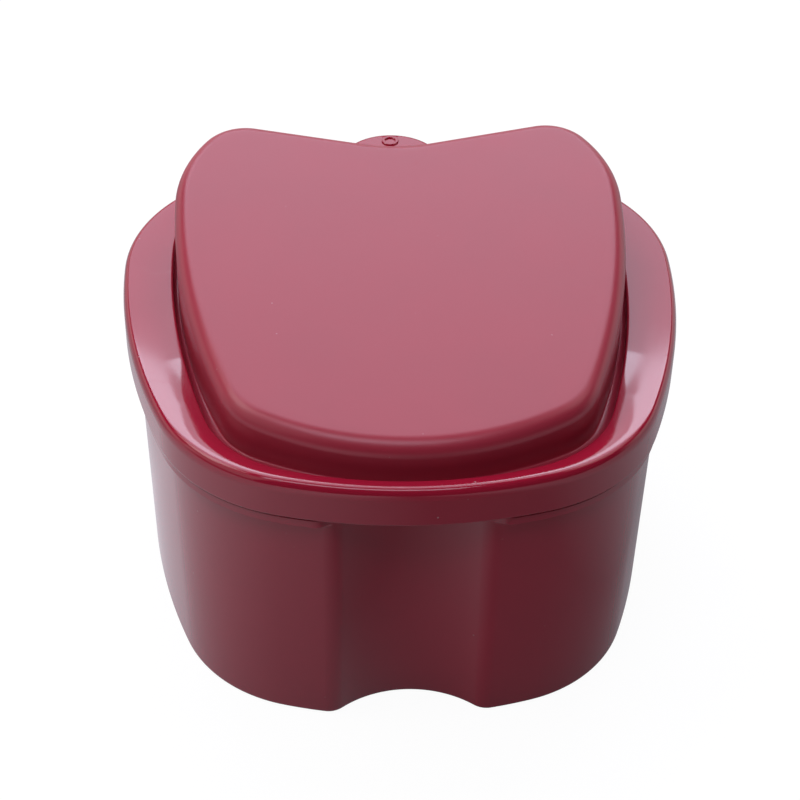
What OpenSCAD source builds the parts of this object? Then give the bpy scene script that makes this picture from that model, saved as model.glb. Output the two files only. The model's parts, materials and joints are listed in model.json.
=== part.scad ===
// Denture case: a rounded, one-handed soaking box with a hinged lid.
// The cup has a thumb scoop down its front. The lid is one moulding: a rounded
// flange with a skirt, a sunk channel, and a tooth-shaped cap that rises to the
// back. A strainer basket hangs in the cup, and its arched handle stands up into
// the hollow of the cap. Millimetres, +Z up, the thumb scoop faces -Y.

/* [Case outline] */
// Width over the lid flange
case_w = 90; // [80:1:110]
// Reach of the flange from its widest line to the front
front_reach = 58.1; // [52:0.1:66]
// Reach of the flange from its widest line to the back
back_reach = 30.9; // [28:0.1:36]
// Radius of the two front corners
front_corner_r = 26.2; // [20:0.1:30]
// Half angle that the front arc turns through
front_arc = 16.1; // [12:0.1:20]
// Heading at which the front corner meets the side
side_arc = 68.9; // [62:0.1:74]
// Half angle that the back arc turns through
back_arc = 15.7; // [12:0.1:20]
// Distance from the widest line back to the middle of the part's frame
frame_shift = 9.5; // [9:0.1:10]

/* [Cup] */
// Height of the top of the lid flange above the table
flange_z = 49.7; // [42:0.1:60]
// Inset of the cup wall from the flange edge
wall_inset = 2.4; // [2:0.1:3.4]
// Thickness of the cup wall
wall_t = 2; // [1.6:0.1:2.4]
// Thickness of the cup floor
floor_t = 2.2; // [1.6:0.1:3]
// Rounding of the foot edge of the cup
foot_r = 0.6; // [0.4:0.1:1.4]
// Height of the mouth above the skirt's lower edge
mouth_h = 2; // [1.6:0.1:2.6]
// Inset of the mouth's outer face
mouth_inset = 2; // [2:0.05:2.3]
// Thickness of the wall round the mouth
mouth_t = 1.4; // [1.3:0.05:1.5]
// Depth of the seat for the basket rim below the mouth
seat_depth = 6; // [4.6:0.1:7]
// Height of the ledge just under the lid
ledge_h = 1.6; // [1:0.1:2.4]
// Inset of the ledge's face
ledge_inset = 1.6; // [1.4:0.1:1.9]

/* [Thumb scoop] */
// Half distance between the two crests beside the scoop
scoop_half = 12.6; // [10:0.1:15]
// Radius of the scoop
scoop_r = 16.8; // [14:0.1:20]
// Radius of the crests at the wall
crest_r = 3.5; // [3:0.1:4.5]

/* [Lid] */
// Height of the skirt, from its lower edge to the top of the flange
skirt_h = 6.5; // [6:0.1:7.5]
// Thickness of the skirt
skirt_t = 1.7; // [1.5:0.05:1.7]
// Thickness of the flange and the cap
lid_t = 1.8; // [1.4:0.1:2]
// Rounding of the flange's outer edge
flange_r = 2; // [1.4:0.1:2.2]
// Depth of the sunk channel round the cap
channel_depth = 2.4; // [1.8:0.1:2.5]
// Thickness of the channel's floor
channel_t = 1.1; // [1:0.05:1.2]
// Half width of the channel's outer edge
lip_half_w = 37; // [36.8:0.1:37.6]
// Rounding of the channel's outer edge
lip_r = 0.6; // [0.3:0.1:0.6]

/* [Cap] */
// Half width of the cap
cap_half_w = 36.2; // [35:0.1:36.3]
// Height of the cap's front edge above the flange
cap_front_h = 4.4; // [3.6:0.1:5.4]
// Slope of the cap's top, rising to the back
cap_slope = 8; // [5:0.1:9.5]
// Rounding of the cap's upper edge
cap_r = 2.4; // [1.6:0.1:2.6]
// Radius of the two rear lobes of the cap
lobe_r = 8.2; // [7:0.1:9.5]
// Distance that the lobes stand in from the cap's widest line
lobe_in = 2.9; // [2:0.1:3.6]
// Reach of the lobes behind the cap's widest line
lobe_reach = 17.3; // [15.5:0.1:19]
// Slope of the saddle between the lobes
saddle_slope = 13.3; // [9:0.1:16]
// Radius of the middle of the saddle
saddle_r = 25; // [20:1:32]

/* [Hinge] */
// Radius of the round ear over the hinge
ear_r = 9.1; // [8:0.1:10]
// Thickness of the ear
ear_t = 2.4; // [2:0.1:2.6]
// Distance of the hinge line behind the flange edge
hinge_back = 3.6; // [3.4:0.1:4]
// Radius of the hinge pin
pin_r = 1.2; // [1:0.05:1.3]
// Running clearance of the pin in the lid's knuckle
pin_gap = 0.06; // [0.03:0.01:0.09]
// Radius of the knuckles
knuckle_r = 2.5; // [2.3:0.1:2.6]
// Length of the lid's knuckle
lid_knuckle_w = 6.4; // [5:0.1:7]
// Length of each knuckle of the cup
cup_knuckle_w = 4.2; // [3:0.1:4.6]
// End gap between the knuckles
knuckle_gap = 0.3; // [0.2:0.05:0.5]

/* [Seal] */
// Thickness of the seal ring
seal_t = 0.95; // [0.8:0.05:1]

/* [Strainer basket] */
// Gap between the basket and the cup wall
basket_gap = 1; // [0.6:0.1:1.5]
// Thickness of the basket wall and floor
basket_t = 1.6; // [1.2:0.1:2]
// Thickness of the basket's rim
basket_rim_t = 1.5; // [1.2:0.1:2]
// Space kept under the basket
basket_foot = 3; // [2:0.1:5]
// Width of the drain slots
slot_w = 2.4; // [1.6:0.1:3]
// Distance between drain slots
slot_pitch = 7.5; // [6:0.1:9]
// Radius of the drain holes in the floor
drain_r = 1.9; // [1.2:0.1:2.2]
// Distance between drain holes
drain_pitch = 8; // [7:0.5:10]
// Width of the handle band
handle_w = 9; // [7:0.5:12]
// Thickness of the handle band
handle_t = 1.8; // [1.4:0.1:2.2]
// Height of the handle above the basket rim
handle_h = 11.2; // [8:0.1:11.5]

/* [Hidden] */
$fn = 96;
chord_dev = 0.03;
half_w = case_w / 2;
skirt_z = flange_z - skirt_h;
mouth_z = skirt_z + mouth_h;
seat_z = mouth_z - seat_depth;
seal_z = mouth_z + 0.05;
channel_z = flange_z - channel_depth;
under_z = channel_z - channel_t;
hinge_y = back_reach + hinge_back;
hinge_z = skirt_z + 1.2;
rim_top = seat_z + basket_rim_t;
lip_y = 3;
cap_y = 2;
cap_front = -(front_reach - 4.8);
lip_front = -(front_reach - 2.9);
lip_back = back_reach - 3.4;

// Radii of the end arc and the side arc of a quarter outline whose corner radius is r2.
function quarter(hw, dep, r2, a, b) =
    let (m = sin(a), n = 1 - sin(b), p = 1 - cos(a), q = cos(b),
         u = hw - r2 * (sin(b) - sin(a)), v = dep - r2 * (cos(a) - cos(b)),
         det = m * q - n * p)
    [(u * q - n * v) / det, (m * v - p * u) / det];

// Radii of the end arc and the corner arc of a quarter outline with no side arc.
function pair(hw, dep, a) =
    let (m = sin(a), n = 1 - sin(a), p = 1 - cos(a), q = cos(a), det = m * q - n * p)
    [(hw * q - n * dep) / det, (m * dep - p * hw) / det];

// An arc is [centre x, centre y, radius, first heading, last heading].
// Heading 0 runs along the front to the right. A hollow arc has a negative radius.
function at(s, h, d = 0) = [s[0] + (s[2] - d) * sin(h), s[1] - (s[2] - d) * cos(h)];
function centre(pt, r, h) = [pt[0] - r * sin(h), pt[1] + r * cos(h)];
function arc(pt, r, h0, h1) = let (c = centre(pt, r, h0)) [c[0], c[1], r, h0, h1];
function other(s) = [-s[0], s[1], s[2], -s[4], -s[3]];
function closed(first, side, last) =
    concat([first], side, [last], [for (i = [len(side) - 1:-1:0]) other(side[i])]);

// The flange outline: front arc, corner, side, rear corner and back arc.
fq = quarter(half_w, front_reach, front_corner_r, front_arc, side_arc);
bq = pair(half_w, back_reach, back_arc);
f1 = arc([0, -front_reach], fq[0], 0, front_arc);
f2 = arc(at(f1, front_arc), front_corner_r, front_arc, side_arc);
f3 = arc(at(f2, side_arc), fq[1], side_arc, 90);
f4 = arc(at(f3, 90), bq[1], 90, 180 - back_arc);
f5 = arc(at(f4, 180 - back_arc), bq[0], 180 - back_arc, 180 + back_arc);
flange = closed([f1[0], f1[1], f1[2], -front_arc, front_arc], [f2, f3, f4], f5);

// The cup outline is the flange's with the thumb scoop let into the front arc.
crest_full = crest_r + wall_inset;
scoop_full = scoop_r - wall_inset;
crest_h = asin(scoop_half / (fq[0] - crest_full));
crest_c = [scoop_half, f1[1] - (fq[0] - crest_full) * cos(crest_h)];
scoop_h = asin(scoop_half / (scoop_full + crest_full));
scoop_y = crest_c[1] - (scoop_full + crest_full) * cos(scoop_h);
cup_line = closed([0, scoop_y, -scoop_full, scoop_h, -scoop_h],
    [[crest_c[0], crest_c[1], crest_full, -scoop_h, crest_h],
     [f1[0], f1[1], f1[2], crest_h, front_arc], f2, f3, f4], f5);

// The outer edge of the channel.
lq = quarter(lip_half_w, lip_y - lip_front, 19, 18, 73);
lb = quarter(lip_half_w, lip_back - lip_y, 13, 12, 75);
l1 = arc([0, lip_front], lq[0], 0, 18);
l2 = arc(at(l1, 18), 19, 18, 73);
l3 = arc(at(l2, 73), lq[1], 73, 90);
l4 = arc(at(l3, 90), lb[1], 90, 105);
l5 = arc(at(l4, 105), 13, 105, 168);
l6 = arc(at(l5, 168), lb[0], 168, 192);
lip = closed([l1[0], l1[1], l1[2], -18, 18], [l2, l3, l4, l5], l6);

// The cap: front arc, corners, sides, rear lobes and the saddle between them.
cq = quarter(cap_half_w, cap_y - cap_front, 12, 29, 69);
c1 = arc([0, cap_front], cq[0], 0, 29);
c2 = arc(at(c1, 29), 12, 29, 69);
c3 = arc(at(c2, 69), cq[1], 69, 90);
// The rear side turns in from the widest line until the lobe takes over.
lobe_dy = lobe_reach - lobe_r;
c4h = 2 * atan(lobe_in / lobe_dy);
c4 = arc(at(c3, 90), lobe_r + lobe_dy / sin(c4h), 90, 90 + c4h);
c5 = arc(at(c4, 90 + c4h), lobe_r, 90 + c4h, 180 + saddle_slope);
c6x = saddle_r * sin(saddle_slope);
c5e = at(c5, 180 + saddle_slope);
c6e = [c6x, c5e[1] - (c5e[0] - c6x) * tan(saddle_slope)];
c7 = [0, c6e[1] + saddle_r * cos(saddle_slope), -saddle_r, 180 + saddle_slope, 180 - saddle_slope];
cap_line = closed([c1[0], c1[1], c1[2], -29, 29], [c2, c3, c4, c5], c7);

// Points along an outline drawn in by d, close enough together that no chord
// strays from its arc by more than chord_dev.
function steps(s) = max(1, ceil(abs(s[4] - s[3]) / (2 * acos(1 - chord_dev / max(abs(s[2]), 3)))));
function ring(line, d = 0) = let (n = len(line))
    [for (i = [0:n - 1]) let (s = line[i], t = line[(i + 1) % n], k = steps(s))
        each concat([for (j = [0:k - 1]) at(s, s[3] + (s[4] - s[3]) * j / k, d)],
            norm(at(s, s[4]) - at(t, t[3])) > 0.01 ? [at(s, s[4], d)] : [])];

module region(line, d = 0) {
    polygon(ring(line, d));
}

module prism(line, d, z0, z1) {
    translate([0, 0, z0]) linear_extrude(z1 - z0) region(line, d);
}

// Skins a stack of rings that all have the same number of points. Each end is
// closed by a fan from its middle, which suits the hollow runs in the outlines.
function middle(r) = [for (k = [0:2]) let (v = [for (q = r) q[k]]) v * [for (q = r) 1 / len(r)]];
module loft(rings) {
    n = len(rings[0]);
    m = len(rings);
    low = n * m;
    polyhedron(
        points = concat([for (r = rings) each r], [middle(rings[0]), middle(rings[m - 1])]),
        convexity = 6,
        faces = concat(
            [for (i = [0:n - 1]) [i, (i + 1) % n, low]],
            [for (i = [0:n - 1]) [(m - 1) * n + (i + 1) % n, (m - 1) * n + i, low + 1]],
            [for (k = [0:m - 2]) for (i = [0:n - 1]) let (j = (i + 1) % n)
                [k * n + i, (k + 1) * n + i, (k + 1) * n + j, k * n + j]]));
}

// One level ring of a loft, drawn in by d at height z.
function level(line, d, z) = [for (q = ring(line, d)) [q[0], q[1], z]];

// Rings of a rounded upper edge of radius r that ends at inset d + r, height z.
function round_up(line, d, z, r, n = 4) =
    [for (i = [0:n]) let (a = 90 * i / n) level(line, d + r * (1 - cos(a)), z - r * (1 - sin(a)))];

// Rings of a rounded foot edge of radius r that starts at inset d + r, height 0.
function round_foot(line, d, r, n = 3) =
    [for (i = [0:n]) let (a = 90 * i / n) level(line, d + r * (1 - sin(a)), r * (1 - cos(a)))];

// The cup outline drawn in by d. Past the crests' own radius they come to a point.
module cup_region(d) {
    if (d < crest_full - 0.3) region(cup_line, d);
    else difference() {
        region(flange, d);
        translate([0, scoop_y]) circle(r = scoop_full + d, $fn = 120);
    }
}

module cup_prism(d, z0, z1) {
    translate([0, 0, z0]) linear_extrude(z1 - z0) cup_region(d);
}

module box(x0, x1, y0, y1, z0, z1) {
    translate([x0, y0, z0]) cube([x1 - x0, y1 - y0, z1 - z0]);
}

module rod(r, x0, x1, y, z) {
    translate([x0, y, z]) rotate([0, 90, 0]) cylinder(r = r, h = x1 - x0);
}

module placed() {
    translate([0, frame_shift, 0]) children();
}

// ---------------------------------------------------------------- cup
module cup() color([0.49, 0.16, 0.22]) placed() difference() {
    union() {
        // Wall and floor, with a rounded foot edge.
        loft(concat(round_foot(cup_line, wall_inset, foot_r), [level(cup_line, wall_inset, skirt_z + 0.5)]));
        // Ledge under the lid, broken where the scoop is.
        translate([0, 0, skirt_z - 0.2 - ledge_h]) linear_extrude(ledge_h) difference() {
            region(flange, ledge_inset);
            translate([0, scoop_y]) circle(r = scoop_full + wall_inset + 0.8, $fn = 120);
        }
        // The mouth runs straight across the scoop, so its foot is a shelf there.
        prism(flange, mouth_inset, skirt_z, mouth_z);
        hinge_arms();
    }
    cup_prism(wall_inset + wall_t, floor_t, mouth_z + 1);
    cup_prism(mouth_inset + mouth_t, seat_z, mouth_z + 1);
    prism(flange, mouth_inset + mouth_t, skirt_z + 1.2, mouth_z + 1);
    rod(pin_r, -12, 12, hinge_y, hinge_z);
}

module hinge_arms() {
    for (m = [0, 1]) mirror([m, 0, 0]) {
        x0 = lid_knuckle_w / 2 + knuckle_gap;
        rod(knuckle_r, x0, x0 + cup_knuckle_w, hinge_y, hinge_z);
        difference() {
            box(x0, x0 + cup_knuckle_w, back_reach - wall_inset - 1, hinge_y, hinge_z - 6, skirt_z - 0.2);
            // The arm's underside runs up and back from the wall.
            translate([x0 - 1, back_reach - wall_inset, hinge_z - 6]) rotate([35, 0, 0])
                translate([0, 0, -12]) cube([cup_knuckle_w + 2, 16, 12]);
        }
    }
}

// ---------------------------------------------------------------- lid
// The cap's top lies in a plane that rises to the back. Its walls stand upright.
function cap_top(y) = flange_z + cap_front_h + (y - cap_front) * tan(cap_slope);
function cap_ring(d, drop) = [for (q = ring(cap_line, d)) [q[0], q[1], cap_top(q[1]) - drop]];

module cap_solid() {
    n = 5;
    loft(concat([level(cap_line, 0, under_z)],
        [for (i = [0:n]) let (a = 90 * i / n) cap_ring(cap_r * (1 - cos(a)), cap_r * (1 - sin(a)))]));
}

module cap_hollow() {
    loft([level(cap_line, lid_t, under_z - 4), cap_ring(lid_t, lid_t + 0.5), cap_ring(lid_t + 0.5, lid_t)]);
}

module lid() color([0.52, 0.17, 0.24]) placed() difference() {
    union() {
        difference() {
            union() {
                loft(concat([level(flange, 0, skirt_z)], round_up(flange, 0, flange_z, flange_r)));
                ear();
            }
            // The sunk channel, with a softened lip.
            loft([level(lip, 0, channel_z), level(lip, 0, flange_z - lip_r),
                level(lip, -0.3 * lip_r, flange_z - 0.3 * lip_r), level(lip, -lip_r, flange_z),
                level(lip, -lip_r, flange_z + 1)]);
        }
        cap_solid();
        // Knuckle of the lid, hung under the ear.
        rod(knuckle_r, -lid_knuckle_w / 2, lid_knuckle_w / 2, hinge_y, hinge_z);
        box(-lid_knuckle_w / 2, lid_knuckle_w / 2, hinge_y - 2, hinge_y + 2, hinge_z, flange_z - 1);
    }
    // Room for the mouth of the cup, with a lip inside it that holds the seal.
    difference() {
        prism(flange, skirt_t, skirt_z - 1, under_z);
        translate([0, 0, under_z - 0.7]) linear_extrude(2) difference() {
            region(flange, mouth_inset + mouth_t + 0.2);
            region(flange, mouth_inset + mouth_t + 0.85);
        }
    }
    // The flange is thin beside the channel.
    translate([0, 0, skirt_z]) linear_extrude(flange_z - lid_t - skirt_z) difference() {
        region(flange, mouth_inset + mouth_t + 0.85);
        region(lip, -1.4);
    }
    cap_hollow();
    rod(pin_r + pin_gap, -12, 12, hinge_y, hinge_z);
}

module ear() {
    e = 0.9;
    translate([0, back_reach - 0.9, flange_z - ear_t]) {
        rotate_extrude() {
            square([ear_r - e, ear_t]);
            square([ear_r, ear_t - e]);
            translate([ear_r - e, ear_t - e]) circle(r = e, $fn = 32);
        }
        // A plain raised ring, as a moulding gate leaves.
        translate([0, ear_r - 2.7, ear_t - 0.2]) difference() {
            cylinder(r = 1.5, h = 0.45);
            translate([0, 0, -1]) cylinder(r = 0.9, h = 3);
        }
    }
}

// ---------------------------------------------------------------- hinge pin
module hinge_pin() color([0.75, 0.76, 0.78]) placed() {
    x1 = lid_knuckle_w / 2 + knuckle_gap + cup_knuckle_w;
    rod(pin_r, -x1, x1, hinge_y, hinge_z);
}

// ---------------------------------------------------------------- seal
module seal_ring() color([0.9, 0.9, 0.88]) placed() {
    translate([0, 0, under_z - seal_t]) linear_extrude(seal_t) difference() {
        region(flange, skirt_t + 0.1);
        region(flange, mouth_inset + mouth_t + 0.15);
    }
}

// ---------------------------------------------------------------- strainer basket
module strainer_basket() color([0.93, 0.93, 0.91]) placed() {
    wall = wall_inset + wall_t + basket_gap;
    base = floor_t + basket_foot;
    rim = mouth_inset + mouth_t + 0.3;
    difference() {
        union() {
            cup_prism(wall, base, rim_top);
            cup_prism(rim, seat_z, rim_top);
        }
        cup_prism(wall + basket_t, base + basket_t, rim_top + 1);
        // Drain slots through the walls.
        for (k = [-2:2]) box(-80, 80, -18 + k * slot_pitch - slot_w / 2, -18 + k * slot_pitch + slot_w / 2,
            base + 5, seat_z - 5);
        for (k = [-3:3]) if (abs(k) > 1) box(k * slot_pitch - slot_w / 2, k * slot_pitch + slot_w / 2, -80, 80,
            base + 5, seat_z - 5);
        // Drain holes in the floor.
        for (i = [-3:3]) for (j = [-4:2])
            if (norm([i, j + 1]) < 3.7)
                translate([i * drain_pitch, j * drain_pitch - 4, base - 1]) cylinder(r = drain_r, h = basket_t + 2);
    }
    handle(wall);
}

module handle(wall) {
    // A flat band bent to an arc that springs from inside the side walls.
    hx = half_w - wall - basket_t / 2;
    z0 = rim_top - 4;
    sag = handle_h + 4;
    r = (hx * hx + sag * sag) / (2 * sag);
    intersection() {
        translate([0, -8 + handle_w / 2, rim_top + handle_h - r]) rotate([90, 0, 0]) difference() {
            cylinder(r = r, h = handle_w);
            translate([0, 0, -1]) cylinder(r = r - handle_t, h = handle_w + 2);
        }
        box(-hx, hx, -40, 40, z0 - 1, rim_top + 40);
    }
}

cup();
lid();
hinge_pin();
seal_ring();
strainer_basket();
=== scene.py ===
"""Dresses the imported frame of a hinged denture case: smooth mouldings, finishes, studio.

The cup, lid, pin, seal and strainer are rebuilt as fine meshes in the frame's own
place, from the same outlines as the frame's solids. Sizes are in metres in the
property groups and in millimetres inside the shape code.
"""

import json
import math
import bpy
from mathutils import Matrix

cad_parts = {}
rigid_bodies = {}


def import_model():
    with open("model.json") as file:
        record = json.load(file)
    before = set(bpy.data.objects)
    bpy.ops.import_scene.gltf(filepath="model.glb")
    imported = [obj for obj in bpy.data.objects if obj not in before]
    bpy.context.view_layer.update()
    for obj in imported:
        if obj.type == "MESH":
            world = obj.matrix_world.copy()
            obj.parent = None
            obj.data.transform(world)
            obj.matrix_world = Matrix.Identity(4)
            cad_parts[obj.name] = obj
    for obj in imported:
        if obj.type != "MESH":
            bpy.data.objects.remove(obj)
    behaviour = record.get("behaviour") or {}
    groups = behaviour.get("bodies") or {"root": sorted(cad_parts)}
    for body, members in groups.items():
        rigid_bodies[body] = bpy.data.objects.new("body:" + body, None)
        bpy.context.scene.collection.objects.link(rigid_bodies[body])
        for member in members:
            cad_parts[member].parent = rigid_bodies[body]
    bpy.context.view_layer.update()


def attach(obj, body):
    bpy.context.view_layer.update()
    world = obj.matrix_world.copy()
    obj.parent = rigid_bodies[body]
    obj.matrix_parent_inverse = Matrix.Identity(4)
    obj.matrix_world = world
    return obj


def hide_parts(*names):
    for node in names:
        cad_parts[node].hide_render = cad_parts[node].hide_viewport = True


bl_info = {
    "name": "Denture Case Builder",
    "version": (1, 0, 0),
    "blender": (4, 5, 0),
    "location": "3D View > Sidebar > Denture Case",
    "description": "Builds a hinged denture case with its strainer basket, seal and pin",
    "category": "Add Mesh",
}

from typing import NamedTuple

import bmesh
import bpy
import numpy as np
from mathutils import Matrix, Vector

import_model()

MM = 0.001
POINTS = 480  # points round each moulding outline

# Shape sizes in millimetres, from the widest line of the case and the flange's edge.
TURN_WEIGHT = 7.0  # run that one radian of turning counts for when the points are shared out
MEETING = 0.01  # arcs whose ends lie further apart are joined by a straight line
LIP_Y = 3.0  # widest line of the channel's outer edge
LIP_FRONT_IN = 2.9  # flange edge to the channel's outer edge at the front
LIP_BACK_IN = 3.4  # flange edge to the channel's outer edge at the back
CAP_Y = 2.0  # widest line of the cap
CAP_FRONT_IN = 4.8  # flange edge to the cap at the front
CAP_MIDDLE = -14.0  # where the rings of the cap's top run together
CAP_SINK = 0.03  # keeps the curved top of the cap under the frame's own
LEDGE_START = 0.6  # where the ledge begins beside the scoop
LEDGE_GROWTH = 2.8  # run over which the ledge grows to its full reach
LEDGE_GAP = 0.35  # ledge to the skirt above it
LEDGE_ROUNDING = 0.2
MOUTH_ROUNDING = 0.35
WELL_ROUNDING = 1.0  # where the walls of the cup and of the basket meet their floors
ARM_ROOT = 6  # foot of the hinge arms below the hinge line
ARM_SLOPE = 35  # degrees
BORE_HALF = 12  # half the length of the drill for the pin's bores
EAR_IN = 0.9  # flange edge to the ear's centre
EAR_ROUNDING = 0.9
EAR_DROP, EAR_SHIFT = 0.012, 0.013  # keep the ear's facets inside the frame's own
GATE_IN = 2.7  # the ear's back to the centre of the plain ring on it
SKIRT_ROUNDING = 0.25
RIB = 0.85  # reach of the rib that holds the seal
HOLLOW_ROUNDING = 0.8  # inside the cap
RIM_ROUNDING = 0.4  # basket rim
SLOT_ROOM = 5  # basket floor and seat to the ends of the slots
SIDE_SLOTS_Y = -18  # middle of the slots in the side walls
HANDLE_Y = -8  # middle of the handle

# The view point of the photograph: degrees, millimetres, and offsets across and up in its view.
CAMERA_TARGET = (0.0, 0.0, 30.0)
CAMERA_PITCH, CAMERA_YAW, CAMERA_ROLL = 39.0, -3.138, -1.135
CAMERA_AWAY, CAMERA_ACROSS, CAMERA_UP = 341.843, 0.692, -8.064
CAMERA_LENS, CAMERA_SENSOR = 90.0, 36.0
RIGHT_SHARE = 0.4  # the right side lamp's part of the left one's radiance


# ------------------------------------------------------------------ properties
def length(name, description, default, low, high):
    return bpy.props.FloatProperty(
        name=name, description=description, default=default, min=low, max=high,
        unit="LENGTH", subtype="DISTANCE", precision=4)


def angle(name, description, degrees, low, high):
    return bpy.props.FloatProperty(
        name=name, description=description, default=math.radians(degrees),
        min=math.radians(low), max=math.radians(high), subtype="ANGLE")


def number(name, description, default, low, high):
    return bpy.props.FloatProperty(
        name=name, description=description, default=default, min=low, max=high)


def colour(name, description, default):
    return bpy.props.FloatVectorProperty(
        name=name, description=description, default=default, min=0.0, max=1.0,
        size=3, subtype="COLOR")


class CaseOutlineSizes(bpy.types.PropertyGroup):
    """Sizes of the outline that the cup and the lid share."""
    width: length("Width", "Width over the lid flange", 0.090, 0.080, 0.110)
    front_reach: length("Front reach", "Widest line to the front of the flange", 0.0581, 0.052, 0.066)
    back_reach: length("Back reach", "Widest line to the back of the flange", 0.0309, 0.028, 0.036)
    front_corner: length("Front corner", "Radius of the two front corners", 0.0262, 0.020, 0.030)
    front_arc: angle("Front arc", "Half angle of the front arc", 16.1, 12, 20)
    side_arc: angle("Side arc", "Heading where the corner meets the side", 68.9, 62, 74)
    back_arc: angle("Back arc", "Half angle of the back arc", 15.7, 12, 20)
    shift: length("Frame shift", "Widest line to the middle of the frame", 0.0095, 0.009, 0.010)


class CupSizes(bpy.types.PropertyGroup):
    """Sizes of the cup."""
    wall_inset: length("Wall inset", "Flange edge to the cup wall", 0.0024, 0.002, 0.0034)
    wall: length("Wall", "Thickness of the wall", 0.002, 0.0016, 0.0024)
    floor: length("Floor", "Thickness of the floor", 0.0022, 0.0016, 0.003)
    foot: length("Foot rounding", "Rounding of the foot edge", 0.0006, 0.0004, 0.0014)
    mouth_height: length("Mouth height", "Mouth above the skirt's lower edge", 0.002, 0.0016, 0.0026)
    mouth_inset: length("Mouth inset", "Flange edge to the mouth", 0.002, 0.002, 0.0023)
    mouth: length("Mouth wall", "Thickness round the mouth", 0.0014, 0.0013, 0.0015)
    seat_depth: length("Seat depth", "Mouth down to the basket's seat", 0.006, 0.0046, 0.007)
    ledge_height: length("Ledge height", "Height of the ledge under the lid", 0.0018, 0.001, 0.0024)
    ledge_inset: length("Ledge inset", "Flange edge to the ledge", 0.0004, 0.0003, 0.0019)
    draft: length("Draft", "How much further out the wall stands at the ledge", 0.0007, 0, 0.001)
    scoop_half: length("Scoop half width", "Middle to each crest by the thumb scoop", 0.0126, 0.010, 0.015)
    scoop: length("Scoop radius", "Radius of the thumb scoop", 0.0168, 0.014, 0.020)
    crest: length("Crest radius", "Radius of the crests at the wall", 0.0035, 0.003, 0.0045)


class LidSizes(bpy.types.PropertyGroup):
    """Sizes of the lid."""
    flange_height: length("Flange height", "Top of the flange over the table", 0.0497, 0.042, 0.060)
    skirt_height: length("Skirt height", "Skirt edge to the flange top", 0.0065, 0.006, 0.0075)
    skirt: length("Skirt", "Thickness of the skirt", 0.0017, 0.0015, 0.0017)
    wall: length("Wall", "Thickness of the flange and the cap", 0.0018, 0.0014, 0.002)
    edge: length("Edge rounding", "Rounding of the flange edge", 0.002, 0.0014, 0.0022)
    crown: angle("Flange crown", "Slope of the flange at the edges of its crown", 2, 0, 5)
    lean: angle("Flange lean", "Slope of the flange into the channel at the front", 9, 2, 12)
    edge_reach: length("Edge reach", "Width of the flange's edge rounding", 0.0011, 0.0006, 0.0018)
    channel_depth: length("Channel depth", "Depth of the sunk channel", 0.0024, 0.0018, 0.0025)
    channel_floor: length("Channel floor", "Thickness of the channel's floor", 0.0011, 0.001, 0.0012)
    lip_half: length("Lip half width", "Half width of the channel's outer edge", 0.037, 0.0368, 0.0376)
    lip_edge: length("Lip rounding", "Rounding of the channel's outer edge", 0.0004, 0.0003, 0.0006)
    cap_half: length("Cap half width", "Half width of the cap", 0.0362, 0.035, 0.0363)
    cap_front: length("Cap front height", "Cap's front edge over the flange", 0.0044, 0.0036, 0.0054)
    cap_slope: angle("Cap slope", "Rise of the cap's top to the back", 8, 5, 9.5)
    cap_edge: length("Cap rounding", "Rounding of the cap's upper edge", 0.0024, 0.0016, 0.0026)
    lobe: length("Lobe radius", "Radius of the two rear lobes", 0.0082, 0.007, 0.0095)
    lobe_in: length("Lobe inset", "Cap's widest line in to the lobes", 0.0029, 0.002, 0.0036)
    lobe_reach: length("Lobe reach", "Widest line back to the lobes' ends", 0.0173, 0.0155, 0.019)
    saddle_slope: angle("Saddle slope", "Slope of the saddle's sides", 13.3, 9, 16)
    saddle: length("Saddle radius", "Radius of the saddle's middle", 0.025, 0.020, 0.032)
    ear: length("Ear radius", "Radius of the ear over the hinge", 0.0091, 0.008, 0.010)
    ear_thickness: length("Ear thickness", "Thickness of the ear", 0.0024, 0.002, 0.0026)


class HingeSizes(bpy.types.PropertyGroup):
    """Sizes of the hinge."""
    back: length("Hinge setback", "Flange edge back to the hinge line", 0.0036, 0.0034, 0.004)
    rise: length("Hinge rise", "Skirt edge up to the hinge line", 0.0012, 0.001, 0.0016)
    pin: length("Pin radius", "Radius of the pin", 0.0012, 0.001, 0.0013)
    gap: length("Pin clearance", "Clearance in the lid's knuckle", 0.00006, 0.00003, 0.00009)
    knuckle: length("Knuckle radius", "Radius of the knuckles", 0.0025, 0.0023, 0.0026)
    lid_knuckle: length("Lid knuckle", "Length of the lid's knuckle", 0.0064, 0.005, 0.007)
    cup_knuckle: length("Cup knuckle", "Length of each knuckle of the cup", 0.0042, 0.003, 0.0046)
    end_gap: length("Knuckle gap", "End gap between the knuckles", 0.0003, 0.0002, 0.0005)
    seal: length("Seal thickness", "Thickness of the seal ring", 0.00095, 0.0008, 0.001)


class BasketSizes(bpy.types.PropertyGroup):
    """Sizes of the strainer basket."""
    gap: length("Wall gap", "Cup wall to the basket", 0.001, 0.0006, 0.0015)
    wall: length("Wall", "Thickness of the wall and floor", 0.0016, 0.0012, 0.002)
    rim: length("Rim", "Thickness of the rim", 0.0015, 0.0012, 0.002)
    foot: length("Foot room", "Room under the basket", 0.003, 0.002, 0.005)
    slot: length("Slot width", "Width of the drain slots", 0.0024, 0.0016, 0.003)
    slot_pitch: length("Slot pitch", "Distance between slots", 0.0075, 0.006, 0.009)
    hole: length("Hole radius", "Radius of the drain holes", 0.0019, 0.0012, 0.0022)
    hole_pitch: length("Hole pitch", "Distance between holes", 0.008, 0.007, 0.010)
    handle_width: length("Handle width", "Width of the handle band", 0.009, 0.007, 0.012)
    handle: length("Handle", "Thickness of the handle band", 0.0018, 0.0014, 0.0022)
    handle_height: length("Handle height", "Handle over the rim", 0.0112, 0.008, 0.0115)


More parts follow.
